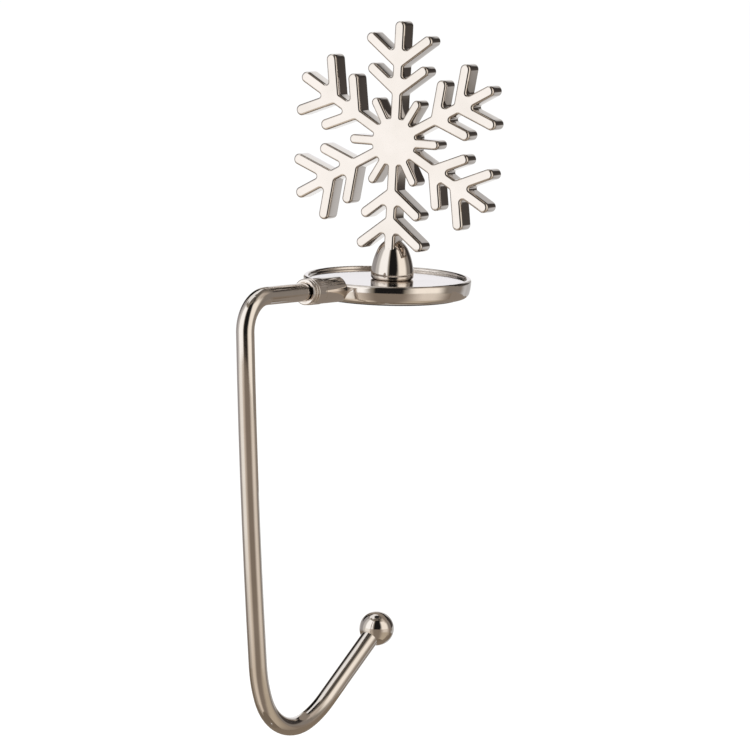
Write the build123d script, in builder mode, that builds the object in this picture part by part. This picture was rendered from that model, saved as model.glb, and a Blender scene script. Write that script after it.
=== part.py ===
from build123d import *
import math
import os

os.makedirs("parts", exist_ok=True)

# A mantel hook: a weighted round tray stands on the mantel shelf, a bent arm leaves its rim,
# drops in front of the shelf and curls back under it, and a cast snowflake stands on the tray.
# Origin on the mantel at the centre of the tray, +Z up, the arm leaves towards -Y.

# Tray
tray_diameter = 58.0
tray_height = 7.0
rim_width = 1.8
floor_drop = 1.1
wall_crest_drop = 1.1
wall_crown_radius = 15.0
lower_edge_radius = 2.2
rim_outer_radius = 0.9
rim_inner_radius = 0.7
floor_corner_radius = 0.4

# Pad under the tray
pad_diameter = 50.0
pad_thickness = 1.4
pad_proud = 0.5
pad_clearance = 0.2

# Barrel on the rim and the arm's axis through it
arm_axis_height = 5.1
arm_lift = 1.5
barrel_diameter = 9.0
barrel_length = 10.5
barrel_end_inset = 0.6
barrel_end_radius = 0.5
barrel_root_length = 4.0
barrel_blind_wall = 0.6

# Ferrule between barrel and arm: lengths and radii of its turned steps, from the barrel outwards
sleeve_length = 4.8
sleeve_radius = 4.65
groove_length = 0.3
groove_depth = 0.5
inner_bead_length = 0.9
inner_bead_radius = 4.6
mouth_bead_length = 1.1
mouth_bead_radius = 4.5
ferrule_edge_radius = 0.4
ferrule_groove_radius = 0.1
recess_depth = 1.4
recess_clearance = 0.4

# Arm: one round rod, bent in one plane
rod_diameter = 6.3
rod_edge_chamfer = 0.4
stud_diameter = 4.0
stud_clearance = 0.05
stud_end_gap = 0.5
corner_reach = 39.0
corner_radius = 10.8
drop_length = 116.5
drop_lean_top = 4.3
drop_lean_bottom = 7.7
entry_radius = 41.5
entry_turn = 17.5
curl_radius = 19.8
exit_radius = 37.5
exit_turn = 18.4
tip_rise = 37.8
tip_run = 30.4

# Ball on the tip of the arm
ball_diameter = 12.0
ball_stud_length = 4.0

# Snowflake with its bell foot, one casting
figure_set_back = 2.7
figure_turn = 12.3
flake_lean = 2.9
flake_forward = 1.4
flake_aside = 0.4
flake_centre_height = 47.5
flake_thickness = 8.0
flake_edge_radius = 0.9
arm_count = 6
stem_reach = 39.8
stem_width = 4.0
branch_width = 4.0
branch_angle = 52.0
outer_branch_root = 27.1
outer_branch_length = 13.3
inner_branch_root = 17.4
inner_branch_length = 12.0
spike_reach = 15.2
spike_width = 3.5
hub_radius = 8.6
notch_radius = 0.8
hub_notch_radius = 0.3
bell_radius = 7.4
bell_edge_radius = 1.0
bell_shoulder_radius = 5.3
bell_shoulder_height = 10.3
bell_height = 14.3

# Screw from below and its spring washer
screw_diameter = 4.0
screw_grip = 8.0
screw_clearance = 0.25
thread_clearance = 0.05
thread_spare = 1.0
head_diameter = 7.5
head_height = 2.0
head_edge_radius = 0.6
head_gap = 0.1
drive_span = 3.6
drive_width = 0.9
drive_depth = 1.1
counterbore_clearance = 0.75
washer_diameter = 7.2
washer_thickness = 0.8
washer_bore_clearance = 0.1
washer_slit = 0.5

# Values that follow from the sizes above
tray_radius = tray_diameter / 2
floor_height = tray_height - floor_drop
wall_crest_height = tray_height - wall_crest_drop
wall_rise = wall_crest_height - pad_proud
wall_foot_radius = tray_radius - wall_crown_radius + math.sqrt(wall_crown_radius**2 - wall_rise**2)
pocket_height = pad_thickness
pocket_radius = pad_diameter / 2 + pad_clearance
washer_seat = pocket_height + head_gap + head_height + washer_thickness
stud_bore_radius = stud_diameter / 2 + stud_clearance
ferrule_length = sleeve_length + 2 * groove_length + inner_bead_length + mouth_bead_length
ferrule_floor = barrel_length + ferrule_length - recess_depth

arm_direction = Vector(0, -math.cos(math.radians(arm_lift)), math.sin(math.radians(arm_lift)))
rim_plane = Plane(origin=(0, -tray_radius, arm_axis_height), x_dir=(1, 0, 0), z_dir=arm_direction)
barrel_mouth = rim_plane.offset(barrel_length)
arm_axis = Axis(rim_plane.origin, arm_direction)
arm_section = Plane(origin=rim_plane.origin, x_dir=arm_direction, z_dir=(1, 0, 0))


# The tray: one casting with its barrel, turned section first, then the pocket, bores and counterbore
with BuildPart() as base_dish:
    with BuildSketch(rim_plane) as barrel_round:
        Circle(barrel_diameter / 2)
    extrude(amount=barrel_length)
    extrude(barrel_round.sketch, amount=-barrel_root_length)
    # Above the tray floor the barrel stops at the rim, and its end there is softly rounded
    with BuildSketch(Plane.XY.offset(floor_height)):
        with Locations((0, barrel_end_inset - tray_radius)):
            Rectangle(2 * barrel_diameter, 2 * barrel_root_length, align=(Align.CENTER, Align.MIN))
    extrude(amount=2 * barrel_diameter, mode=Mode.SUBTRACT)
    end_face = faces().filter_by(Axis.Y).sort_by(SortBy.AREA)[-1]
    fillet(end_face.edges().filter_by(GeomType.LINE, reverse=True), barrel_end_radius)
    with BuildSketch(Plane.XZ):
        with BuildLine():
            RadiusArc((wall_foot_radius, pad_proud), (tray_radius, wall_crest_height), -wall_crown_radius)
            FilletPolyline(
                (tray_radius, wall_crest_height),
                (tray_radius, tray_height),
                (tray_radius - rim_width, tray_height),
                (tray_radius - rim_width, floor_height),
                (0, floor_height),
                radius=[rim_outer_radius, rim_inner_radius, floor_corner_radius],
            )
            Polyline(
                (0, floor_height),
                (0, pocket_height),
                (pocket_radius, pocket_height),
                (pocket_radius, pad_proud),
                (wall_foot_radius, pad_proud),
            )
        make_face()
        wall_foot = vertices().sort_by_distance((wall_foot_radius, pad_proud))[0]
        fillet(wall_foot, lower_edge_radius)
    revolve(axis=Axis.Z)
    with Locations(barrel_mouth):
        Hole(radius=stud_bore_radius, depth=barrel_length - barrel_blind_wall + barrel_end_inset)
    with Locations(Plane(origin=(0, figure_set_back, pocket_height), z_dir=(0, 0, -1))):
        CounterBoreHole(
            radius=screw_diameter / 2 + screw_clearance,
            counter_bore_radius=head_diameter / 2 + counterbore_clearance,
            counter_bore_depth=washer_seat - pocket_height,
        )
base_dish.part.label = "base_dish"
export_step(base_dish.part, "parts/base_dish.step")


# The ferrule: a turned ring with a sleeve, two grooves and two beads, recessed round the rod
ferrule_steps = [
    (sleeve_length, sleeve_radius),
    (groove_length, inner_bead_radius - groove_depth),
    (inner_bead_length, inner_bead_radius),
    (groove_length, mouth_bead_radius - groove_depth),
    (mouth_bead_length, mouth_bead_radius),
]
ferrule_outline = [(barrel_length, stud_bore_radius)]
ferrule_radii = []
along = barrel_length
for step_length, step_radius in ferrule_steps:
    ferrule_outline.append((along, step_radius))
    along += step_length
    ferrule_outline.append((along, step_radius))
    is_groove = step_length == groove_length
    ferrule_radii += [ferrule_groove_radius if is_groove else ferrule_edge_radius] * 2
ferrule_outline.append((along, rod_diameter / 2 + recess_clearance))

with BuildPart() as collar_ferrule:
    with BuildSketch(arm_section):
        with BuildLine():
            FilletPolyline(*ferrule_outline, radius=ferrule_radii)
            Polyline(
                ferrule_outline[-1],
                (ferrule_floor, rod_diameter / 2 + recess_clearance),
                (ferrule_floor, stud_bore_radius),
                ferrule_outline[0],
            )
        make_face()
    revolve(axis=arm_axis)
collar_ferrule.part.label = "collar_ferrule"
export_step(collar_ferrule.part, "parts/collar_ferrule.step")


# The arm: a straight reach, the corner, a drop that bows slightly inwards, and a curl in three arcs
rod_shoulder = rim_plane.offset(ferrule_floor)
with BuildPart() as hook_arm:
    with BuildLine(Plane.YZ) as rod_path:
        reach = Line(rod_shoulder.origin, rim_plane.offset(corner_reach).origin)
        corner = JernArc(reach @ 1, reach % 1, corner_radius, 90 + arm_lift + drop_lean_top)
        drop_bow = drop_lean_bottom - drop_lean_top
        drop = JernArc(corner @ 1, corner % 1, drop_length / math.radians(drop_bow), drop_bow)
        entry = JernArc(drop @ 1, drop % 1, entry_radius, entry_turn)
        curl_turn = 90 - drop_lean_bottom + tip_rise - entry_turn - exit_turn
        curl = JernArc(entry @ 1, entry % 1, curl_radius, curl_turn)
        leave = JernArc(curl @ 1, curl % 1, exit_radius, exit_turn)
        tip = Line(leave @ 1, (leave @ 1) + (leave % 1) * tip_run)
    with BuildSketch(rod_shoulder):
        Circle(rod_diameter / 2)
    sweep(path=rod_path.wire())
    # Each end steps down to a stud: one screws through the ferrule, the other into the ball
    ball_seat = Plane(origin=tip @ 1, x_dir=(1, 0, 0), z_dir=-(tip % 1))
    shoulder_edge = edges().filter_by(GeomType.CIRCLE).sort_by_distance(rod_shoulder.origin)[0]
    chamfer(shoulder_edge, rod_edge_chamfer)
    with BuildSketch(rod_shoulder):
        Circle(stud_diameter / 2)
    extrude(amount=-(ferrule_floor - barrel_blind_wall - stud_end_gap))
    with BuildSketch(ball_seat):
        Circle(stud_diameter / 2)
    extrude(amount=-ball_stud_length)
hook_arm.part.label = "hook_arm"
export_step(hook_arm.part, "parts/hook_arm.step")


# The ball: drilled for the arm's stud, with a flat where the rod's shoulder seats
ball_seat_depth = math.sqrt((ball_diameter / 2) ** 2 - (rod_diameter / 2) ** 2)
ball_centre = ball_seat.offset(-ball_seat_depth)
with BuildPart() as ball_tip:
    with Locations(ball_centre):
        Sphere(ball_diameter / 2)
    with BuildSketch(ball_seat):
        Circle(rod_diameter)
    extrude(amount=ball_diameter, mode=Mode.SUBTRACT)
    with Locations(ball_seat):
        Hole(radius=stud_bore_radius, depth=ball_stud_length + stud_end_gap)
ball_tip.part.label = "ball_tip"
export_step(ball_tip.part, "parts/ball_tip.step")


# The snowflake: six equal arms with two pairs of branches, six short spikes, round notches and
# soft edges, leaning back a little. Its lowest arm runs down into the bell foot of the same casting.
turn = math.radians(figure_turn)
lean = math.radians(flake_lean)
across = Vector(math.cos(turn), math.sin(turn), 0)
ahead = Vector(math.sin(turn), -math.cos(turn), 0)
flake_up = Vector(0, 0, 1) * math.cos(lean) - ahead * math.sin(lean)
flake_ahead = ahead * math.cos(lean) + Vector(0, 0, 1) * math.sin(lean)
foot_centre = Vector(0, figure_set_back, floor_height)
foot_section = Plane(origin=foot_centre, x_dir=across, z_dir=ahead)
flake_plane = Plane(
    origin=foot_centre + flake_up * flake_centre_height + flake_ahead * flake_forward + across * flake_aside,
    x_dir=across,
    z_dir=flake_ahead,
)

with BuildSketch() as flake_arm:
    Rectangle(stem_width, stem_reach, align=(Align.CENTER, Align.MIN))
    with Locations((0, stem_reach)):
        Circle(stem_width / 2)
    for root, length in (
        (inner_branch_root, inner_branch_length),
        (outer_branch_root, outer_branch_length),
    ):
        for side in (-1, 1):
            with Locations(Location((0, root, 0), (0, 0, side * branch_angle))):
                Rectangle(branch_width, length, align=(Align.CENTER, Align.MIN))
                with Locations((0, length)):
                    Circle(branch_width / 2)
    on_stem = [
        corner_point
        for corner_point in vertices()
        if abs(abs(corner_point.X) - stem_width / 2) < 0.01 and 1 < corner_point.Y < stem_reach - 1
    ]
    fillet(on_stem, notch_radius)

with BuildSketch() as flake_outline:
    Circle(hub_radius)
    with PolarLocations(0, arm_count):
        add(flake_arm.sketch)
    with PolarLocations(0, arm_count, start_angle=180 / arm_count):
        Rectangle(spike_width, spike_reach, align=(Align.CENTER, Align.MIN))
        with Locations((0, spike_reach)):
            Circle(spike_width / 2)

with BuildPart() as snowflake:
    with BuildSketch(flake_plane):
        add(flake_outline.sketch)
    extrude(amount=flake_thickness / 2, both=True)
    at_hub = [
        corner_edge
        for corner_edge in edges().filter_by(Axis(flake_plane.origin, flake_plane.z_dir))
        if abs((corner_edge.center() - flake_plane.origin).length - hub_radius) < 0.01
    ]
    fillet(at_hub, hub_notch_radius)
    fillet(faces().filter_by(flake_plane).edges(), flake_edge_radius)
    with BuildSketch(foot_section):
        with BuildLine():
            Line((0, 0), (bell_radius - bell_edge_radius, 0))
            CenterArc((bell_radius - bell_edge_radius, bell_edge_radius), bell_edge_radius, -90, 90)
            bell_side = TangentArc(
                (bell_radius, bell_edge_radius),
                (bell_shoulder_radius, bell_shoulder_height),
                tangent=(0, 1),
            )
            TangentArc(bell_side @ 1, (0, bell_height), tangent=bell_side % 1)
            Line((0, bell_height), (0, 0))
        make_face()
    revolve(axis=Axis(foot_centre, (0, 0, 1)))
    with Locations(Plane(origin=foot_centre, z_dir=(0, 0, -1))):
        Hole(radius=screw_diameter / 2 + thread_clearance, depth=screw_grip + thread_spare)
snowflake.part.label = "snowflake"
export_step(snowflake.part, "parts/snowflake.step")


# The screw that holds the foot down, from below, with a cross drive in its pan head
head_underside = Vector(0, figure_set_back, washer_seat - washer_thickness)
with BuildPart() as foot_screw:
    with BuildSketch(Plane(origin=head_underside)):
        Circle(head_diameter / 2)
    extrude(amount=-head_height)
    fillet(edges().group_by(Axis.Z)[0], head_edge_radius)
    with BuildSketch(Plane(origin=head_underside - Vector(0, 0, head_height))):
        Rectangle(drive_span, drive_width)
        Rectangle(drive_width, drive_span)
    extrude(amount=drive_depth, mode=Mode.SUBTRACT)
    with BuildSketch(Plane(origin=head_underside)):
        Circle(screw_diameter / 2)
    extrude(amount=floor_height + screw_grip - head_underside.Z)
foot_screw.part.label = "foot_screw"
export_step(foot_screw.part, "parts/foot_screw.step")


# The spring washer under the screw's head, a ring with one slit
with BuildPart() as lock_washer:
    with BuildSketch(Plane(origin=head_underside)):
        Circle(washer_diameter / 2)
        Circle(screw_diameter / 2 + washer_bore_clearance, mode=Mode.SUBTRACT)
        Rectangle(washer_diameter, washer_slit, align=(Align.MIN, Align.CENTER), mode=Mode.SUBTRACT)
    extrude(amount=washer_thickness)
lock_washer.part.label = "lock_washer"
export_step(lock_washer.part, "parts/lock_washer.step")


# The soft pad glued into the tray's underside, which stands a little proud of it
with BuildPart() as base_pad:
    with BuildSketch():
        Circle(pad_diameter / 2)
    extrude(amount=pad_thickness)
base_pad.part.label = "base_pad"
export_step(base_pad.part, "parts/base_pad.step")
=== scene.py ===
# %% [markdown]
# # A polished nickel mantel hook with a cast snowflake
#
# The hook stands on a mantel shelf. A heavy round tray rests on the shelf, a bent rod leaves its
# rim, drops in front of the shelf and curls back to a ball, and a thick snowflake stands on a bell
# foot in the tray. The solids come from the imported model, in metres, and they stay where they are.
# This lesson gives them their finishes, a camera and a studio.

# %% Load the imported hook
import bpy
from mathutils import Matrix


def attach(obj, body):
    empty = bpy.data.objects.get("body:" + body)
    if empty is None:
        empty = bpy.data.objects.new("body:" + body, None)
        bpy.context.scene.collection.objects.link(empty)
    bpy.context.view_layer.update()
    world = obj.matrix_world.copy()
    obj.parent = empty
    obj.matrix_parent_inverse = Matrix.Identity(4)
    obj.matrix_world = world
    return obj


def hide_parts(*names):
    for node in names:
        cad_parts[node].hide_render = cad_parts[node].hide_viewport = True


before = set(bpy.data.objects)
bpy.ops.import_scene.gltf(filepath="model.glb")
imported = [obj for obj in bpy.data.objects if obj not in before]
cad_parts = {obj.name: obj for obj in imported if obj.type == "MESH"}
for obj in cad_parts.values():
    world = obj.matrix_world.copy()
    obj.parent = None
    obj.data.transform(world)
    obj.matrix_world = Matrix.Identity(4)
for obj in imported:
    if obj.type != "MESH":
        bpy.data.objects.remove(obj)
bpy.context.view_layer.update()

print("solids:", sorted(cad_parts))

# %% The other modules of the lesson
import math

import bmesh
import bpy
import numpy as np
from mathutils import Matrix, Vector

MM = 0.001

# %% [markdown]
# ## Small helpers
#
# Colours are written as sRGB hex, as a colour picker shows them, but the shader wants linear light.
# One function turns the one into the other. The second adds a node to a tree with its settings, its
# fixed values and its links in one call, so that a material reads from top to bottom. The third
# uses it for arithmetic on two numbers, and the fourth starts an empty material.


# %% Colour from hex
def linear(hex_colour):
    parts = [int(hex_colour[i:i + 2], 16) / 255 for i in (1, 3, 5)]
    light = [p / 12.92 if p <= 0.04045 else ((p + 0.055) / 1.055) ** 2.4 for p in parts]
    return (*light, 1.0)


print("mid grey is", [round(c, 3) for c in linear("#808080")])


# %% A node with its settings, values and links
def add(tree, kind, settings=None, values=None, links=None):
    made = tree.nodes.new(kind)
    for name, value in (settings or {}).items():
        setattr(made, name, value)
    for socket, value in (values or {}).items():
        made.inputs[socket].default_value = value
    for socket, source in (links or {}).items():
        tree.links.new(source, made.inputs[socket])
    return made


# %% Arithmetic in a tree, on two numbers that are each a socket or a plain value
def maths(tree, operation, first, second=0.0):
    made = add(tree, "ShaderNodeMath", {"operation": operation})
    for slot, number_or_socket in enumerate((first, second)):
        if isinstance(number_or_socket, (int, float)):
            made.inputs[slot].default_value = number_or_socket
        else:
            tree.links.new(number_or_socket, made.inputs[slot])
    return made.outputs[0]


# %% An empty material
def new_material(name):
    material = bpy.data.materials.new(name)
    material.use_nodes = True
    material.node_tree.nodes.clear()
    return material, material.node_tree


# %% [markdown]
# ## Polished nickel plate
#
# The tray and the snowflake are zinc castings, polished and nickel plated. The eye reads a mirror
# with a warm tint, very slightly wavy from hand polishing, with a breath of haze where the buffing
# wheel didn't reach as well. So the metal is fully metallic with a low roughness, a slow noise
# changes tint and haze over some 15 mm, and a bump of some 4 to 12 micrometres over a few
# millimetres bends the reflections.


# %% Cast and polished nickel
HAZE_MM = 15.0


def polished_nickel(name, wave_mm, wave_height_mm, haze_low, haze_high):
    material, tree = new_material(name)
    place = add(tree, "ShaderNodeTexCoord")
    haze = add(tree, "ShaderNodeTexNoise", None,
               {"Scale": 1000 / HAZE_MM, "Detail": 3.0, "Roughness": 0.55},
               {"Vector": place.outputs["Object"]})
    tint = add(tree, "ShaderNodeValToRGB", None, None, {"Fac": haze.outputs["Fac"]})
    tint.color_ramp.elements[0].position = 0.35
    tint.color_ramp.elements[0].color = linear("#DFD8D1")
    tint.color_ramp.elements[1].position = 0.65
    tint.color_ramp.elements[1].color = linear("#E6DFD9")
    gloss = add(tree, "ShaderNodeMapRange", None,
                {"From Min": 0.3, "From Max": 0.7, "To Min": haze_low, "To Max": haze_high},
                {"Value": haze.outputs["Fac"]})
    wave = add(tree, "ShaderNodeTexNoise", None,
               {"Scale": 1000 / wave_mm, "Detail": 1.0, "Roughness": 0.4},
               {"Vector": place.outputs["Object"]})
    relief = add(tree, "ShaderNodeBump", None, {"Strength": 1.0, "Distance": wave_height_mm * MM},
                 {"Height": wave.outputs["Fac"]})
    metal = add(tree, "ShaderNodeBsdfPrincipled", None, {"Metallic": 1.0},
                {"Base Color": tint.outputs["Color"], "Roughness": gloss.outputs["Result"],
                 "Normal": relief.outputs["Normal"]})
    add(tree, "ShaderNodeOutputMaterial", None, None, {"Surface": metal.outputs["BSDF"]})
    return material


cast_nickel = polished_nickel("polished_nickel_on_zinc_casting", 6.0, 0.012, 0.05, 0.09)
rod_nickel = polished_nickel("polished_nickel_on_bent_steel_rod", 9.0, 0.008, 0.06, 0.10)
turned_nickel = polished_nickel("polished_nickel_on_turned_brass", 5.0, 0.004, 0.04, 0.07)
print("nickel finishes:", cast_nickel.name, rod_nickel.name, turned_nickel.name)


# %% [markdown]
# ## The snowflake
#
# The real flake is a thick zinc casting: six equal arms, each with two pairs of branches, and six
# short spikes between them. Such a shape follows a rule, so only the corners of half an arm are
# given. Geometry Nodes then mirror them, turn them round the hub, round every corner, sweep a wall
# with soft edges along the outline and fill the two faces. Change one size or the number of arms,
# and the whole flake follows.

# %% Sizes of the flake in millimetres
STEM_REACH, STEM_WIDTH, BRANCH_WIDTH = 39.8, 4.0, 4.0
BRANCH_ANGLE = math.radians(52.0)
TWIGS = ((17.4, 12.0), (27.1, 13.3))
SPIKE_REACH, SPIKE_WIDTH = 15.2, 3.5
HUB_RADIUS, ARM_COUNT = 8.6, 6
NOTCH_RADIUS, HUB_NOTCH_RADIUS = 0.8, 0.3
FLAKE_THICKNESS, EDGE_RADIUS, WALL_CROWN, CROWN_RADIUS = 8.0, 0.9, 0.1, 90.0


# %% Corners of one branch, from the stem out along its lower side and back along its upper side
def twig_corners(root, length):
    sin, cos, half = math.sin(BRANCH_ANGLE), math.cos(BRANCH_ANGLE), BRANCH_WIDTH / 2
    leaves_stem = (STEM_WIDTH / 2 - half * cos) / sin
    meets_stem = (STEM_WIDTH / 2 + half * cos) / sin
    corners = []
    for side, along, radius in (
        (half, leaves_stem, NOTCH_RADIUS),
        (half, length + half, half),
        (-half, length + half, half),
        (-half, meets_stem, NOTCH_RADIUS),
    ):
        corners.append((along * sin + side * cos, root + along * cos - side * sin, radius))
    return corners


# %% Corners of half an arm, from the spike beside it to its own tip
half_turn = math.pi / ARM_COUNT
half_spike, half_stem = SPIKE_WIDTH / 2, STEM_WIDTH / 2
half_arm = []
for along, radius in ((SPIKE_REACH + half_spike, half_spike),
                      (math.sqrt(HUB_RADIUS ** 2 - half_spike ** 2), HUB_NOTCH_RADIUS)):
    half_arm.append((along * math.sin(half_turn) - half_spike * math.cos(half_turn),
                     along * math.cos(half_turn) + half_spike * math.sin(half_turn), radius))
half_arm.append((half_stem, math.sqrt(HUB_RADIUS ** 2 - half_stem ** 2), HUB_NOTCH_RADIUS))
for root, length in TWIGS:
    half_arm += twig_corners(root, length)
half_arm.append((half_stem, STEM_REACH + half_stem, half_stem))
print("half an arm has", len(half_arm), "corners")

# %% The half arm as a mesh, with each corner's radius as an attribute
# a little under the drawn radius, so that the two corners of a tip don't quite meet
ROUNDING = 0.97
half_arm_mesh = bpy.data.meshes.new("snowflake_half_arm")
half_arm_mesh.from_pydata([(x * MM, y * MM, 0) for x, y, radius in half_arm],
                          [(i, i + 1) for i in range(len(half_arm) - 1)], [])
corner_radius = half_arm_mesh.attributes.new("corner_radius", "FLOAT", "POINT")
corner_radius.data.foreach_set("value", [ROUNDING * radius * MM for x, y, radius in half_arm])
flake_drawing = bpy.data.objects.new("snowflake_drawing", half_arm_mesh)
bpy.context.scene.collection.objects.link(flake_drawing)

# %% [markdown]
# The tree counts off one point for each corner of the whole outline. A point's number says which
# arm it is on and which corner of the half arm it copies. On the second half of an arm the corners
# run backwards and are mirrored. Then the outline is turned into a closed curve and its corners are
# rounded with the radius that each one carries.

# %% The tree and its named inputs
flake_tree = bpy.data.node_groups.new("snowflake_casting", "GeometryNodeTree")
flake_tree.interface.new_socket("Geometry", in_out="INPUT", socket_type="NodeSocketGeometry")
for name, kind, value in (
    ("Arms", "NodeSocketInt", ARM_COUNT),
    ("Thickness", "NodeSocketFloat", FLAKE_THICKNESS * MM),
    ("Edge Radius", "NodeSocketFloat", EDGE_RADIUS * MM),
    ("Wall Crown", "NodeSocketFloat", WALL_CROWN * MM),
    ("Corner Steps", "NodeSocketInt", 7),
    ("Finish", "NodeSocketMaterial", None),
):
    made = flake_tree.interface.new_socket(name, in_out="INPUT", socket_type=kind)
    if value is not None:
        made.default_value = value
flake_tree.interface.new_socket("Geometry", in_out="OUTPUT", socket_type="NodeSocketGeometry")
flake_in = add(flake_tree, "NodeGroupInput").outputs

# %% Which arm and which corner each point is
corners = add(flake_tree, "GeometryNodeAttributeDomainSize", {"component": "MESH"}, None,
              {"Geometry": flake_in["Geometry"]}).outputs["Point Count"]
arm_corners = maths(flake_tree, "MULTIPLY", corners, 2.0)
all_corners = maths(flake_tree, "MULTIPLY", arm_corners, flake_in["Arms"])
number = add(flake_tree, "GeometryNodeInputIndex").outputs[0]
arm_part = maths(flake_tree, "DIVIDE", number, arm_corners)
arm_number = maths(flake_tree, "FLOOR", arm_part)
corner = maths(flake_tree, "MODULO", number, arm_corners)
corners_left = maths(flake_tree, "SUBTRACT", arm_corners, corner)
backwards = maths(flake_tree, "SUBTRACT", corners_left, 1.0)
copied = maths(flake_tree, "MINIMUM", corner, backwards)
is_mirrored = add(flake_tree, "FunctionNodeCompare",
                  {"data_type": "FLOAT", "operation": "LESS_THAN"}, None,
                  {0: backwards, 1: corner}).outputs[0]

# %% Each point's place: copied, mirrored, then turned round the hub
drawn_place = add(flake_tree, "GeometryNodeInputPosition").outputs[0]
drawn_radius = add(flake_tree, "GeometryNodeInputNamedAttribute", {"data_type": "FLOAT"},
                   {"Name": "corner_radius"}).outputs["Attribute"]


def from_copied_corner(data_type, value):
    return add(flake_tree, "GeometryNodeSampleIndex", {"data_type": data_type, "domain": "POINT"},
               None, {"Geometry": flake_in["Geometry"], "Value": value, "Index": copied}
               ).outputs["Value"]


place = from_copied_corner("FLOAT_VECTOR", drawn_place)
radius_here = from_copied_corner("FLOAT", drawn_radius)
flipped = add(flake_tree, "ShaderNodeVectorMath", {"operation": "MULTIPLY"}, {1: (-1, 1, 1)},
              {0: place}).outputs[0]
half_place = add(flake_tree, "GeometryNodeSwitch", {"input_type": "VECTOR"}, None,
                 {"Switch": is_mirrored, "False": place, "True": flipped}).outputs[0]
one_arm = maths(flake_tree, "DIVIDE", 2 * math.pi, flake_in["Arms"])
arm_turn = maths(flake_tree, "MULTIPLY", arm_number, one_arm)
final_place = add(flake_tree, "ShaderNodeVectorRotate", {"rotation_type": "Z_AXIS"}, None,
                  {"Vector": half_place, "Angle": arm_turn}).outputs[0]

# %% A closed outline with rounded corners
dots = add(flake_tree, "GeometryNodeMeshLine", None, None, {"Count": all_corners}).outputs[0]
dots = add(flake_tree, "GeometryNodeStoreNamedAttribute", {"data_type": "FLOAT", "domain": "POINT"},
           {"Name": "corner_radius"}, {"Geometry": dots, "Value": radius_here}).outputs[0]
dots = add(flake_tree, "GeometryNodeSetPosition", None, None,
           {"Geometry": dots, "Position": final_place}).outputs[0]
outline = add(flake_tree, "GeometryNodeMeshToCurve", None, None, {"Mesh": dots}).outputs[0]
outline = add(flake_tree, "GeometryNodeSetSplineCyclic", None, {"Cyclic": True},
              {"Geometry": outline}).outputs[0]
outline = add(flake_tree, "GeometryNodeFilletCurve", {"mode": "POLY"}, {"Limit Radius": True},
              {"Curve": outline, "Radius": drawn_radius, "Count": flake_in["Corner Steps"]}
              ).outputs[0]
outline = add(flake_tree, "GeometryNodeSetCurveNormal", {"mode": "Z_UP"}, None,
              {"Curve": outline}).outputs[0]

# %% [markdown]
# The wall's section is drawn once, from the front face's rim over a quarter round, down the wall,
# which is crowned by a tenth of a millimetre because a casting needs draft on both sides of its
# parting line, and round to the back. It is swept along the outline. The two faces are the outline
# moved in to the rims and filled, and they are merged with the wall. Faces are shaded flat and
# walls smooth, as on a casting whose faces were held flat against the polishing wheel.


# %% The wall's section: five corners, three of them rounded
def by_number(values, sources):
    """One value for each corner of the section; None takes the next of the sources."""
    switch = add(flake_tree, "GeometryNodeIndexSwitch", {"data_type": "FLOAT"})
    for extra in range(len(values) - 2):
        switch.index_switch_items.new()
    sources = iter(sources)
    for slot, value in enumerate(values):
        if value is None:
            flake_tree.links.new(next(sources), switch.inputs[slot + 1])
        else:
            switch.inputs[slot + 1].default_value = value
    flake_tree.links.new(number, switch.inputs["Index"])
    return switch.outputs[0]


front = maths(flake_tree, "MULTIPLY", flake_in["Thickness"], 0.5)
back = maths(flake_tree, "MULTIPLY", flake_in["Thickness"], -0.5)
wall_end = maths(flake_tree, "MULTIPLY", flake_in["Wall Crown"], -1.0)
rim = maths(flake_tree, "SUBTRACT", wall_end, flake_in["Edge Radius"])
outwards = by_number((None, None, 0.0, None, None), (rim, wall_end, wall_end, rim))
upwards = by_number((None, None, 0.0, None, None), (front, front, back, back))
rounding = by_number((0.0, None, CROWN_RADIUS * MM, None, 0.0),
                     (flake_in["Edge Radius"], flake_in["Edge Radius"]))
section = add(flake_tree, "GeometryNodeMeshLine", None, {"Count": 5}).outputs[0]
section_place = add(flake_tree, "ShaderNodeCombineXYZ", None, None,
                    {"X": outwards, "Y": upwards}).outputs[0]
section = add(flake_tree, "GeometryNodeSetPosition", None, None,
              {"Geometry": section, "Position": section_place}).outputs[0]
section = add(flake_tree, "GeometryNodeMeshToCurve", None, None, {"Mesh": section}).outputs[0]
section = add(flake_tree, "GeometryNodeFilletCurve", {"mode": "POLY"}, {"Limit Radius": True},
              {"Curve": section, "Radius": rounding, "Count": flake_in["Corner Steps"]}
              ).outputs[0]

# %% Sweep the wall, fill the faces, merge them and give them their finish
MERGE_MM = 0.01
wall = add(flake_tree, "GeometryNodeCurveToMesh", None, None,
           {"Curve": outline, "Profile Curve": section}).outputs[0]
wall = add(flake_tree, "GeometryNodeSetShadeSmooth", None, {"Shade Smooth": True},
           {"Geometry": wall}).outputs[0]
outline_normal = add(flake_tree, "GeometryNodeInputNormal").outputs[0]
to_rim = add(flake_tree, "ShaderNodeVectorMath", {"operation": "SCALE"}, None,
             {0: outline_normal, "Scale": rim}).outputs[0]
flat = add(flake_tree, "GeometryNodeSetPosition", None, None,
           {"Geometry": outline, "Offset": to_rim}).outputs[0]
flat = add(flake_tree, "GeometryNodeFillCurve", {"mode": "NGONS"}, None, {"Curve": flat}).outputs[0]
flat = add(flake_tree, "GeometryNodeSetShadeSmooth", None, {"Shade Smooth": False},
           {"Geometry": flat}).outputs[0]
faces = add(flake_tree, "GeometryNodeJoinGeometry")
flake_tree.links.new(wall, faces.inputs[0])
for height in (front, back):
    lifted = add(flake_tree, "ShaderNodeCombineXYZ", None, None, {"Z": height}).outputs[0]
    moved = add(flake_tree, "GeometryNodeTransform", None, None,
                {"Geometry": flat, "Translation": lifted}).outputs[0]
    flake_tree.links.new(moved, faces.inputs[0])
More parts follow.
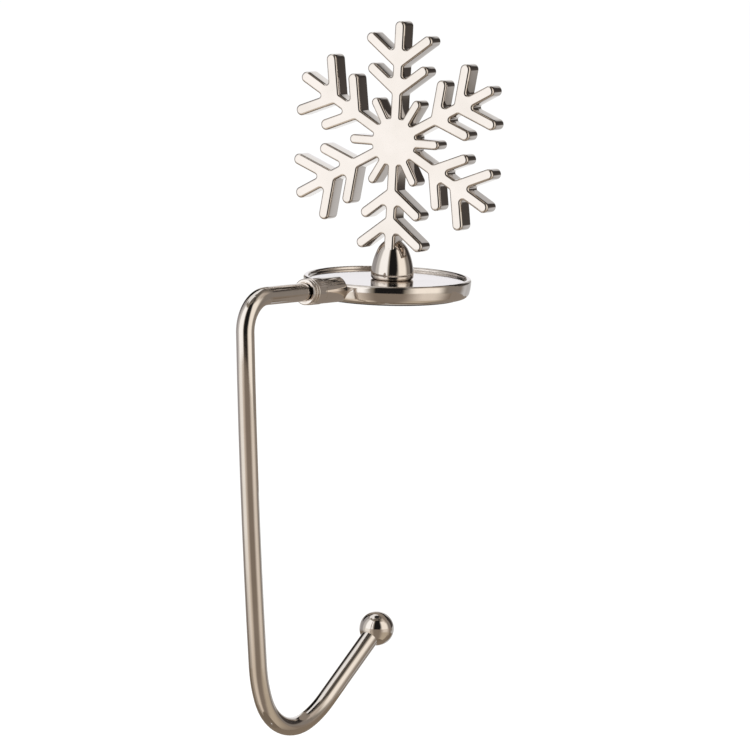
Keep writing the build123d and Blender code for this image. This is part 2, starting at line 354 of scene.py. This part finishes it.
casting = add(flake_tree, "GeometryNodeMergeByDistance", None, {"Distance": MERGE_MM * MM},
              {"Geometry": faces.outputs[0]}).outputs[0]
casting = add(flake_tree, "GeometryNodeRealizeInstances", None, None,
              {"Geometry": casting}).outputs[0]
casting = add(flake_tree, "GeometryNodeSetMaterial", None, None,
              {"Geometry": casting, "Material": flake_in["Finish"]}).outputs[0]
add(flake_tree, "NodeGroupOutput", None, None, {"Geometry": casting})
print("nodes in the tree:", len(flake_tree.nodes))

# %% Run the tree and keep its result as a plain mesh
grow = flake_drawing.modifiers.new("snowflake_casting", "NODES")
grow.node_group = flake_tree
for socket in flake_tree.interface.items_tree:
    if socket.name == "Finish":
        grow[socket.identifier] = cast_nickel
grown = flake_drawing.evaluated_get(bpy.context.evaluated_depsgraph_get())
flake_mesh = bpy.data.meshes.new_from_object(grown)
flake_drawing.modifiers.remove(grow)
bpy.data.objects.remove(flake_drawing)
print("flake:", len(flake_mesh.vertices), "corners,", len(flake_mesh.polygons), "faces")

# %% Stand the flake up: turned a little to its right, leaning back, over the middle of its foot
FOOT_SET_BACK, FOOT_FLOOR = 2.7, 5.9
FLAKE_TURN, FLAKE_LEAN = math.radians(12.3), math.radians(2.9)
FLAKE_HEIGHT, FLAKE_FORWARD, FLAKE_ASIDE = 47.5, 1.4, 0.4
across = Vector((math.cos(FLAKE_TURN), math.sin(FLAKE_TURN), 0))
ahead_level = Vector((math.sin(FLAKE_TURN), -math.cos(FLAKE_TURN), 0))
upright = Vector((0, 0, 1)) * math.cos(FLAKE_LEAN) - ahead_level * math.sin(FLAKE_LEAN)
facing = ahead_level * math.cos(FLAKE_LEAN) + Vector((0, 0, 1)) * math.sin(FLAKE_LEAN)
foot = Vector((0, FOOT_SET_BACK, FOOT_FLOOR))
hub = foot + FLAKE_HEIGHT * upright + FLAKE_FORWARD * facing + FLAKE_ASIDE * across
stand = Matrix((across, upright, facing)).transposed().to_4x4()
stand.translation = hub * MM
flake_mesh.transform(stand)
print("hub in mm:", [round(c, 1) for c in hub])

# %% [markdown]
# ## The bell foot
#
# The lowest arm runs down into a bell that stands on the tray. It was turned in the pattern that
# the casting was made from, so it is lathed here: its half section is drawn as arcs that run
# smoothly into each other and spun round. A union makes it one closed skin with the flake, as in
# one casting, and edges sharper than 30 degrees stay crisp where the arm meets the bell.


# %% Points of an arc that leaves one point along a direction and ends at another
def arc_onwards(start, direction, end, steps):
    start, direction, end = Vector(start), Vector(direction).normalized(), Vector(end)
    left = Vector((-direction.y, direction.x))
    chord = end - start
    turned = 2 * math.atan2(chord.dot(left), chord.dot(direction))
    centre = start + left * chord.length_squared / (2 * chord.dot(left))
    points = [centre + Matrix.Rotation(turned * k / steps, 2) @ (start - centre)
              for k in range(1, steps + 1)]
    return points, Matrix.Rotation(turned, 2) @ direction


# %% The bell's half section and its lathe
BELL_RADIUS, BELL_EDGE, SHOULDER, BELL_TOP = 7.4, 1.0, (5.3, 10.3), 14.3
EDGE_STEPS, SIDE_STEPS, CROWN_STEPS, TURN_STEPS = 8, 20, 20, 144
edge_start = (BELL_RADIUS - BELL_EDGE, 0)
edge_end = (BELL_RADIUS, BELL_EDGE)
edge_arc, rising = arc_onwards(edge_start, (1, 0), edge_end, EDGE_STEPS)
side_arc, leaning = arc_onwards(edge_end, rising, SHOULDER, SIDE_STEPS)
crown_arc = arc_onwards(SHOULDER, leaning, (0, BELL_TOP), CROWN_STEPS)[0]
bell_section = [Vector((0, 0)), Vector(edge_start)] + edge_arc + side_arc + crown_arc
lathe = bmesh.new()
turned_points = [lathe.verts.new((x * MM, 0, y * MM)) for x, y in bell_section]
turned_edges = [lathe.edges.new(pair) for pair in zip(turned_points, turned_points[1:])]
bmesh.ops.spin(lathe, geom=turned_points + turned_edges, cent=(0, 0, 0), axis=(0, 0, 1),
               angle=2 * math.pi, steps=TURN_STEPS, use_merge=True)
bmesh.ops.remove_doubles(lathe, verts=lathe.verts[:], dist=0.001 * MM)
bmesh.ops.recalc_face_normals(lathe, faces=lathe.faces[:])
for face in lathe.faces:
    face.smooth = abs(face.normal.z) < 0.999 or face.calc_center_median().z > MM
bmesh.ops.translate(lathe, verts=lathe.verts[:], vec=foot * MM)
bell_mesh = bpy.data.meshes.new("snowflake_bell")
lathe.to_mesh(bell_mesh)
lathe.free()
bell_mesh.materials.append(cast_nickel)
print("bell:", len(bell_mesh.polygons), "faces")

# %% One casting
SHARP_ANGLE = math.radians(30)
snowflake = bpy.data.objects.new("snowflake_casting", flake_mesh)
bell = bpy.data.objects.new("snowflake_bell", bell_mesh)
for part in (snowflake, bell):
    bpy.context.scene.collection.objects.link(part)
skin = bmesh.new()
skin.from_mesh(flake_mesh)
bmesh.ops.recalc_face_normals(skin, faces=skin.faces[:])
skin.to_mesh(flake_mesh)
skin.free()
union = snowflake.modifiers.new("union", "BOOLEAN")
union.operation, union.solver, union.object = "UNION", "EXACT", bell
joined = snowflake.evaluated_get(bpy.context.evaluated_depsgraph_get())
casting_mesh = bpy.data.meshes.new_from_object(joined)
snowflake.modifiers.remove(union)
snowflake.data = casting_mesh
bpy.data.objects.remove(bell)
casting_mesh.set_sharp_from_angle(angle=SHARP_ANGLE)

skin = bmesh.new()
skin.from_mesh(casting_mesh)
open_edges = sum(len(edge.link_faces) != 2 for edge in skin.edges)
print("casting:", len(skin.faces), "faces,", open_edges, "open edges,",
      round(skin.calc_volume() / MM ** 3), "cubic mm")
skin.free()
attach(snowflake, "root")
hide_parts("snowflake")

# %% [markdown]
# ## Zinc plated steel and foam rubber
#
# The screw and its washer are bright zinc plated: a blue-grey metal with a fine frosty grain. The
# pad is closed-cell foam rubber, matt black, with pores of about half a millimetre.


# %% Bright zinc plate
FROST_MM, PORE_MM = 0.4, 0.5


def zinc_plate():
    material, tree = new_material("bright_zinc_plated_steel")
    place = add(tree, "ShaderNodeTexCoord")
    frost = add(tree, "ShaderNodeTexNoise", None, {"Scale": 1000 / FROST_MM, "Detail": 2.0},
                {"Vector": place.outputs["Object"]})
    gloss = add(tree, "ShaderNodeMapRange", None, {"To Min": 0.22, "To Max": 0.42},
                {"Value": frost.outputs["Fac"]})
    tint = add(tree, "ShaderNodeValToRGB", None, None, {"Fac": frost.outputs["Fac"]})
    tint.color_ramp.elements[0].color = linear("#B4B9BE")
    tint.color_ramp.elements[1].color = linear("#D2D5D8")
    metal = add(tree, "ShaderNodeBsdfPrincipled", None, {"Metallic": 1.0},
                {"Base Color": tint.outputs["Color"], "Roughness": gloss.outputs["Result"]})
    add(tree, "ShaderNodeOutputMaterial", None, None, {"Surface": metal.outputs["BSDF"]})
    return material


zinc = zinc_plate()


# %% Closed-cell foam rubber
def foam_rubber():
    material, tree = new_material("black_closed_cell_foam_rubber")
    place = add(tree, "ShaderNodeTexCoord")
    pores = add(tree, "ShaderNodeTexVoronoi", {"feature": "F1"}, {"Scale": 1000 / PORE_MM},
                {"Vector": place.outputs["Object"]})
    shade = add(tree, "ShaderNodeValToRGB", None, None, {"Fac": pores.outputs["Distance"]})
    shade.color_ramp.elements[0].color = linear("#17171A")
    shade.color_ramp.elements[1].color = linear("#2B2B2E")
    relief = add(tree, "ShaderNodeBump", None, {"Strength": 0.6, "Distance": 0.08 * MM},
                 {"Height": pores.outputs["Distance"]})
    rubber = add(tree, "ShaderNodeBsdfPrincipled", None, {"Roughness": 0.85, "IOR": 1.5},
                 {"Base Color": shade.outputs["Color"], "Normal": relief.outputs["Normal"]})
    add(tree, "ShaderNodeOutputMaterial", None, None, {"Surface": rubber.outputs["BSDF"]})
    return material


foam = foam_rubber()

# %% Each solid gets its finish
finishes = {
    "base_dish": cast_nickel,
    "hook_arm": rod_nickel,
    "ball_tip": turned_nickel,
    "collar_ferrule": turned_nickel,
    "foot_screw": zinc,
    "lock_washer": zinc,
    "base_pad": foam,
}
for solid_name, finish in finishes.items():
    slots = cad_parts[solid_name].data.materials
    for index in range(len(slots)):
        slots[index] = finish
    print(solid_name, "is", finish.name, "in", len(slots), "slot")

# %% [markdown]
# ## The camera
#
# The photograph was taken from well away with a long lens: the two ends of the tray's rim are the
# same width. The camera stands 3 m off, 37 degrees round to the right of the arm and 8 degrees
# above it, and the picture is turned by 1.7 degrees. One point of the hook, the top of the tray at
# its centre, is laid on its own place in the 750 pixel frame, and everything else follows.

# %% Camera
PICTURE = 750
azimuth, elevation, roll = math.radians(37.0), math.radians(8.05), math.radians(1.7)
distance = 3.0
focal_pixels = 8700.0
anchor = Vector((0, 0, 7.0 * MM))
anchor_pixel = (387.5, 276.2)

ahead = Vector((-math.sin(azimuth) * math.cos(elevation),
                math.cos(azimuth) * math.cos(elevation),
                -math.sin(elevation)))
level_right = Vector((math.cos(azimuth), math.sin(azimuth), 0))
level_up = level_right.cross(ahead)
right = math.cos(roll) * level_right + math.sin(roll) * level_up
up = math.cos(roll) * level_up - math.sin(roll) * level_right
aside = (anchor_pixel[0] - PICTURE / 2) / focal_pixels
above = (PICTURE / 2 - anchor_pixel[1]) / focal_pixels

camera_data = bpy.data.cameras.new("Camera")
camera = bpy.data.objects.new("Camera", camera_data)
bpy.context.scene.collection.objects.link(camera)
camera_data.sensor_width = 36.0
camera_data.lens = focal_pixels / PICTURE * 36.0
camera_data.clip_start = 0.1
camera_data.clip_end = 50.0
camera.location = anchor - distance * (ahead + aside * right + above * up)
camera.rotation_mode = "QUATERNION"
camera.rotation_quaternion = Matrix((right, up, -ahead)).transposed().to_quaternion()
bpy.context.scene.camera = camera
print("lens", round(camera_data.lens, 1), "mm, camera at", [round(c, 3) for c in camera.location])

# %% [markdown]
# ## The studio
#
# Polished metal shows its surroundings, so most of its look is made here. The world is white to
# the camera and in reflections, and plain light elsewhere. What the metal mirrors besides is a tent
# round the hook that only reflections can see: softboxes left and right, a black gap where the
# camera stands, a pale backdrop behind, and warm brown below, as of a wooden table. The tent is one
# dome, and its panels are painted on its corners with soft edges. Three cards stand nearer, because
# what is near looks different from high and low parts of the hook: the table's edge in front, and
# the shelf's front and the table's own behind.


# %% The world: white to the camera and in reflections, plain light elsewhere
world = bpy.data.worlds.new("white_studio")
bpy.context.scene.world = world
world.use_nodes = True
world.node_tree.nodes.clear()
sky = world.node_tree
path = add(sky, "ShaderNodeLightPath")
mirrored = maths(sky, "MAXIMUM", path.outputs["Is Camera Ray"], path.outputs["Is Glossy Ray"])
shown = maths(sky, "MAXIMUM", mirrored, path.outputs["Is Transmission Ray"])
plain_light = add(sky, "ShaderNodeBackground", None, {"Color": (1, 1, 1, 1), "Strength": 0.8})
white_light = add(sky, "ShaderNodeBackground", None, {"Color": (1, 1, 1, 1), "Strength": 1.0})
both = add(sky, "ShaderNodeMixShader", None, None,
           {0: shown, 1: plain_light.outputs[0], 2: white_light.outputs[0]})
add(sky, "ShaderNodeOutputWorld", None, None, {"Surface": both.outputs[0]})


# %% A painted panel of the tent
def soft_step(distance, softness):
    t = np.clip(0.5 - distance / max(softness, 1e-6), 0, 1)
    return t * t * (3 - 2 * t)


def paint(colours, turn, rise, turns, rises, hex_colour, strength, soft, slant=0.0):
    """Turns run from 0 at the arm's side to 90 at the hook's right, and rises from the horizon.

    A slant moves the panel's middle aside by so many degrees for each degree of rise.
    """
    middle = (turns[0] + turns[1]) / 2 + slant * rise
    beside = np.abs((turn - middle + 180) % 360 - 180) - (turns[1] - turns[0]) / 2
    over = np.abs(rise - (rises[0] + rises[1]) / 2) - (rises[1] - rises[0]) / 2
    share = soft_step(beside, soft[0]) * soft_step(over, soft[1])
    light = strength * np.array(linear(hex_colour)[:3])
    return colours + share[:, None] * (light - colours)


def glowing_card(name, points, faces, colours):
    mesh = bpy.data.meshes.new(name)
    mesh.from_pydata(points.tolist(), [], faces)
    glow = mesh.attributes.new("glow", "FLOAT_COLOR", "POINT")
    opaque = np.c_[colours, np.ones(len(colours))]
    glow.data.foreach_set("color", opaque.astype(np.float32).ravel())
    material, tree = new_material(name)
    painted = add(tree, "ShaderNodeAttribute", {"attribute_name": "glow"})
    light = add(tree, "ShaderNodeEmission", None, {"Strength": 1.0},
                {"Color": painted.outputs["Color"]})
    add(tree, "ShaderNodeOutputMaterial", None, None, {"Surface": light.outputs[0]})
    mesh.materials.append(material)
    card = bpy.data.objects.new(name, mesh)
    bpy.context.scene.collection.objects.link(card)
    card.visible_camera = False
    card.visible_diffuse = False
    card.visible_shadow = False


def grid_faces(columns, rows):
    return [(i * rows + j, (i + 1) * rows + j, (i + 1) * rows + j + 1, i * rows + j + 1)
            for i in range(columns - 1) for j in range(rows - 1)]


# %% The dome of the tent
TENT_RADIUS = 1.3
dome_turns, dome_rises = np.arange(-180, 181, 1.0), np.arange(-88, 89, 1.0)
turn, rise = [a.ravel() for a in np.meshgrid(dome_turns, dome_rises, indexing="ij")]
dome_points = TENT_RADIUS * np.c_[
    np.sin(np.radians(turn)) * np.cos(np.radians(rise)),
    -np.cos(np.radians(turn)) * np.cos(np.radians(rise)),
    np.sin(np.radians(rise)),
]
glow = np.tile(np.array(linear("#8C8479")[:3]), (len(turn), 1))
for turns, rises, colour, strength, soft, slant in (
    # ceiling, and the light in it on the left
    ((-180, 180), (64, 90), "#6A645D", 1.0, (0, 14), 0),
    ((-95, -20), (62, 90), "#FFFFFF", 1.0, (20, 8), 0),
    ((60, 85), (58, 82), "#4A4642", 1.0, (12, 8), 0),
    # table and floor below the horizon, with painted light where the softboxes fall on the table
    ((-180, 180), (-90, -19), "#7F7365", 1.0, (0, 6), 0),
    ((50, 110), (-40, -16), "#A59A88", 1.0, (30, 10), 0),
    ((-64, 6), (-60, -20), "#C4B5A2", 1.0, (12, 6), 0),
    ((-52, -24), (-60, -20), "#E8D9C8", 1.0, (12, 6), 0),
    ((150, 182), (-23, -6), "#CBCBCC", 1.0, (10, 5), 0),
    # the grey room on the left, with a black flag in it and a light over the flag
    ((-122, -58), (-18, 42), "#A5A2A3", 1.0, (14, 12), 0),
    ((-146, -108), (-16, -4), "#DAD8D6", 1.0, (10, 4), 0),
    ((-158, -60), (49, 80), "#FFFFFF", 1.0, (10, 5), 0),
    ((-152, -132), (-10, 24), "#F4F4F2", 1.0, (10, 14), 0),
    ((-122, -88), (9, 53), "#0C0C0C", 1.0, (8, 6), -0.3),
    # big softbox on the left
    ((-68, -44), (-18, 50), "#CFCDCB", 1.0, (8, 3), 0),
    ((-44, 10), (-18, 52), "#FFFFFF", 1.22, (14, 3), 0),
    ((-62, 4), (-20.6, -19.2), "#6E655B", 1.0, (10, 1), 0),
    # black gap round the camera
    ((19, 60), (-18, 60), "#1E1D1D", 1.0, (5, 3), 0),
    ((45, 70), (3, 60), "#1E1D1D", 1.0, (6, 12), 0),
    # softbox on the right
    ((70, 119), (-17, 48), "#FFF8EE", 1.12, (20, 10), 0),
    # the room behind on the right
    ((129, 165), (-18, 44), "#8C857E", 1.0, (16, 10), 0),
    ((110, 142), (30, 60), "#BEB3A8", 1.0, (16, 12), 0),
    ((92, 128), (44, 60), "#CFC5B9", 1.0, (24, 12), 0),
    ((162, 204), (46, 64), "#6E6862", 1.0, (12, 8), 0),
    # backdrop behind, grey and then white, a dark stretch beside it and a dark gap over it
    ((180, 208), (-62, 28), "#C2C1C1", 1.0, (8, 6), 0),
    ((203, 218), (-62, 26), "#F6F6F6", 1.0, (8, 6), 0),
    ((209, 228), (1, 16), "#F5F5FA", 1.06, (6, 3), 0),
    ((150, 184), (-5, 34), "#403C3A", 1.0, (8, 4), 0),
    ((158, 176), (-4, 8), "#4E4946", 1.0, (6, 6), 0),
    ((160, 212), (26, 44), "#242120", 1.0, (16, 4), 0),
):
    glow = paint(glow, turn, rise, turns, rises, colour, strength, soft, slant)
glowing_card("studio_tent", dome_points, grid_faces(len(dome_turns), len(dome_rises)), glow)
print("tent corners:", len(turn))

# %% The table's edge, a ring that stands near, painted by turns and by heights in millimetres
TABLE_RADIUS = 0.392
edge_turns, edge_heights = np.arange(-60, 141, 1.0), np.array([-900.0, -260.0, -190.0, -104.0])
turn, height = [a.ravel() for a in np.meshgrid(edge_turns, edge_heights, indexing="ij")]
edge_points = np.c_[TABLE_RADIUS * np.sin(np.radians(turn)),
                    -TABLE_RADIUS * np.cos(np.radians(turn)), height * MM]
glow = np.tile(np.array(linear("#8A7E72")[:3]), (len(turn), 1))
for turns, heights, colour, softness in (
    # the table's front: warm where the light from the left and from the right falls on it
    ((-38, 8), (-905, -220), "#E0D3C3", 30),
    ((-70, -38), (-905, -220), "#A99E91", 16),
    ((70, 130), (-905, -220), "#C2B5A2", 40),
    # its top edge, with a painted highlight from the softboxes along it: brighter, and whitest on
    # the left
    ((-30, 8), (-220, -100), "#D8CCBF", 30),
    ((-70, -46), (-220, -100), "#CECAC6", 10),
    ((-48, -10), (-220, -100), "#FFFCF6", 14),
    ((74, 121), (-220, -100), "#EAE0D4", 34),
):
    glow = paint(glow, turn, height, turns, heights, colour, 1.0, (softness, 1.0))
glowing_card("studio_table_edge", edge_points, grid_faces(len(edge_turns), len(edge_heights)), glow)
print("table edge corners:", len(turn))

# %% The shelf's front and the table's, low behind the hook: its under sides mirror them
BEHIND = 0.036
for card_name, sides, heights, colour in (
    ("studio_shelf_front", (-0.10, 0.06), (-0.075, -0.006), "#93897F"),
    ("studio_table_front", (-0.20, 0.06), (-0.50, -0.155), "#8A7D6E"),
):
    card_corners = np.array([(side, BEHIND, height) for side in sides for height in heights])
    card_glow = np.tile(linear(colour)[:3], (len(card_corners), 1))
    glowing_card(card_name, card_corners, grid_faces(len(sides), len(heights)), card_glow)
    print(card_name, "stands", BEHIND / MM, "mm behind the tray's centre")

# %% Floor and lamps
FLOOR_REACH, FLOOR_HEIGHT = 6.0, -0.21
FLOOR_GLOW, GLOW_SHARE = 1.15, 0.6
LAMP_DISTANCE = 1.5
floor_mesh = bpy.data.meshes.new("floor")
floor_mesh.from_pydata([(side * FLOOR_REACH, end * FLOOR_REACH, FLOOR_HEIGHT)
                        for side, end in ((-1, -1), (1, -1), (1, 1), (-1, 1))], [], [(0, 1, 2, 3)])
floor = bpy.data.objects.new("floor", floor_mesh)
bpy.context.scene.collection.objects.link(floor)
floor_paint, floor_tree = new_material("matt_white_floor")
seen = add(floor_tree, "ShaderNodeLightPath")
matt = add(floor_tree, "ShaderNodeBsdfDiffuse", None, {"Color": linear("#FFFFFF")})
white = add(floor_tree, "ShaderNodeEmission", None,
            {"Color": (1, 1, 1, 1), "Strength": FLOOR_GLOW})
seen_white = maths(floor_tree, "MULTIPLY", seen.outputs["Is Camera Ray"], GLOW_SHARE)
floor_mix = add(floor_tree, "ShaderNodeMixShader", None, None,
                {0: seen_white, 1: matt.outputs[0], 2: white.outputs[0]})
add(floor_tree, "ShaderNodeOutputMaterial", None, None, {"Surface": floor_mix.outputs[0]})
floor_mesh.materials.append(floor_paint)
floor.visible_glossy = False


def lamp(name, turn_deg, rise_deg, size, power):
    turn, rise = math.radians(turn_deg), math.radians(rise_deg)
    toward = Vector((math.sin(turn) * math.cos(rise), -math.cos(turn) * math.cos(rise),
                     math.sin(rise)))
    data = bpy.data.lights.new(name, "AREA")
    data.size = size
    data.energy = power
    made = bpy.data.objects.new(name, data)
    bpy.context.scene.collection.objects.link(made)
    made.location = toward * LAMP_DISTANCE
    made.rotation_mode = "QUATERNION"
    made.rotation_quaternion = toward.to_track_quat("Z", "Y")
    made.visible_glossy = False


lamp("key", -20, 45, 1.2, 9.0)
lamp("fill", 100, 30, 1.2, 5.0)

# %% Colour management
bpy.context.scene.view_settings.view_transform = "Standard"
